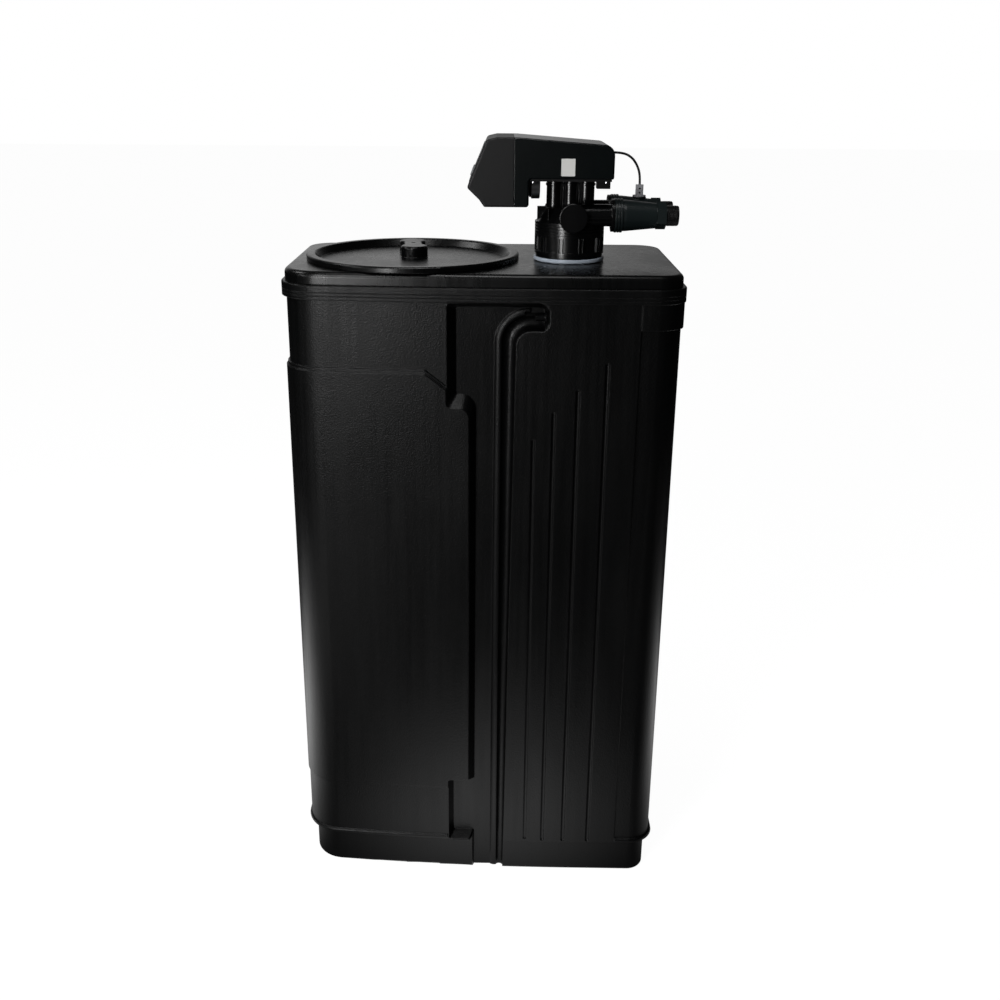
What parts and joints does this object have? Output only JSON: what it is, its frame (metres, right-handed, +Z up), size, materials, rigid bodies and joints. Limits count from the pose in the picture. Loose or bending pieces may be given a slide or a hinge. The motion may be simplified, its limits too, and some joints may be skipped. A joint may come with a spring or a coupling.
{
  "type": "water softener",
  "caption": "Cabinet water softener: moulded cabinet with a salt lid, resin vessel, control valve with controller and flow meter, and brine well.",
  "frame": {"origin": "centre of the cabinet's base, on the floor", "axes": "+X to the right along the front, towards the pipe nozzles, +Y from the front to the back, +Z up"},
  "size_m": [0.536, 0.312, 1.082],
  "materials": {
    "cabinet_plastic": "moulded polyethylene, fine grain",
    "cover_plastic": "moulded polyethylene, satin",
    "vessel_plastic": "blow moulded, satin",
    "pipe_plastic": "extruded, satin",
    "valve_plastic": "glass filled, glossy",
    "connector_plastic": "glass filled, glossy",
    "nozzle_plastic": "threaded, matt",
    "controller_plastic": "moulded, fine texture",
    "housing_plastic": "moulded, matt",
    "panel_plastic": "printed film, matt",
    "window_plastic": "clear over dark, glossy",
    "button_plastic": "moulded, satin",
    "inner_plastic": "moulded, natural",
    "rubber": "soft, matt",
    "steel": "plated",
    "board": "laminate",
    "probe_plastic": "moulded, satin"
  },
  "bodies": {
    "softener": {"cabinet_tank": "cabinet_plastic", "top_cover": "cover_plastic", "vessel": "vessel_plastic", "neck_ring": "vessel_plastic", "vessel_foot": "vessel_plastic", "riser_tube": "pipe_plastic", "brine_well": "pipe_plastic", "pickup_tube": "pipe_plastic", "lower_basket": "pipe_plastic", "upper_basket": "pipe_plastic", "air_check_cage": "pipe_plastic", "tank_adapter": "valve_plastic", "collar": "valve_plastic", "valve_body": "valve_plastic", "injector_cap": "valve_plastic", "brine_valve": "valve_plastic", "overflow_spigot": "valve_plastic", "overflow_nut": "valve_plastic", "drain_connector": "valve_plastic", "drain_nut": "valve_plastic", "brine_connector": "valve_plastic", "inlet_coupling": "connector_plastic", "inlet_body": "connector_plastic", "outlet_coupling": "connector_plastic", "meter_housing": "connector_plastic", "inlet_nozzle": "nozzle_plastic", "outlet_nozzle": "nozzle_plastic", "controller_cover": "controller_plastic", "panel_housing": "housing_plastic", "control_panel": "panel_plastic", "display_window": "window_plastic", "drive_base": "inner_plastic", "neck_seal": "rubber", "injector_seal": "rubber", "sensor_lead": "rubber", "lead_grommet": "rubber", "drive_motor": "steel", "turbine_spindle": "steel", "piston_springs": "steel", "cover_screws": "steel", "circuit_board": "board", "sensor_probe": "probe_plastic"},
    "lid": {"salt_lid": "cover_plastic"},
    "well_cap": {"brine_well_cap": "pipe_plastic"},
    "float": {"brine_float": "inner_plastic"},
    "camshaft": {"camshaft": "inner_plastic", "cam_gear": "inner_plastic"},
    "pinion": {"motor_pinion": "inner_plastic"},
    "piston_brine": {"piston_brine": "inner_plastic"},
    "piston_service": {"piston_service": "inner_plastic"},
    "piston_drain": {"piston_drain": "inner_plastic"},
    "turbine": {"meter_turbine": "inner_plastic"},
    "button_menu": {"button_menu": "button_plastic"},
    "button_down": {"button_down": "button_plastic"},
    "button_up": {"button_up": "button_plastic"},
    "button_set": {"button_set": "button_plastic"}
  },
  "joints": [
    {"name": "lid_lift", "type": "slide", "parent": "softener", "child": "lid", "axis": [0, 0, 1], "range_m": [0, 0.05]},
    {"name": "well_cap_lift", "type": "slide", "parent": "softener", "child": "well_cap", "axis": [0, 0, 1], "range_m": [0, 0.025]},
    {"name": "float_rise", "type": "slide", "parent": "softener", "child": "float", "axis": [0, 0, 1], "range_m": [0, 0.02]},
    {"name": "camshaft_turn", "type": "hinge", "parent": "softener", "child": "camshaft", "pos_m": [0.1189, -0.0116, 1.052], "axis": [1, 0, 0], "continuous": true},
    {"name": "pinion_turn", "type": "hinge", "parent": "softener", "child": "pinion", "pos_m": [0.0539, -0.0116, 1.022], "axis": [1, 0, 0], "continuous": true},
    {"name": "turbine_turn", "type": "hinge", "parent": "softener", "child": "turbine", "pos_m": [0.2158, 0.0184, 0.9815], "axis": [1, 0, 0], "continuous": true},
    {"name": "piston_brine_stroke", "type": "slide", "parent": "softener", "child": "piston_brine", "axis": [0, 0, 1], "range_m": [0, 0.004], "stiffness_N_per_m": 200},
    {"name": "piston_service_stroke", "type": "slide", "parent": "softener", "child": "piston_service", "axis": [0, 0, 1], "range_m": [0, 0.004], "stiffness_N_per_m": 200},
    {"name": "piston_drain_stroke", "type": "slide", "parent": "softener", "child": "piston_drain", "axis": [0, 0, 1], "range_m": [0, 0.004], "stiffness_N_per_m": 200},
    {"name": "button_menu_press", "type": "slide", "parent": "softener", "child": "button_menu", "axis": [0.9215, 0, -0.3884], "range_m": [0, 0.001], "stiffness_N_per_m": 300},
    {"name": "button_down_press", "type": "slide", "parent": "softener", "child": "button_down", "axis": [0.9215, 0, -0.3884], "range_m": [0, 0.001], "stiffness_N_per_m": 300},
    {"name": "button_up_press", "type": "slide", "parent": "softener", "child": "button_up", "axis": [0.9215, 0, -0.3884], "range_m": [0, 0.001], "stiffness_N_per_m": 300},
    {"name": "button_set_press", "type": "slide", "parent": "softener", "child": "button_set", "axis": [0.9215, 0, -0.3884], "range_m": [0, 0.001], "stiffness_N_per_m": 300}
  ],
  "couplings": [
    {"joint": "pinion_turn", "follows": "camshaft_turn", "ratio": -2.3333}
  ]
}
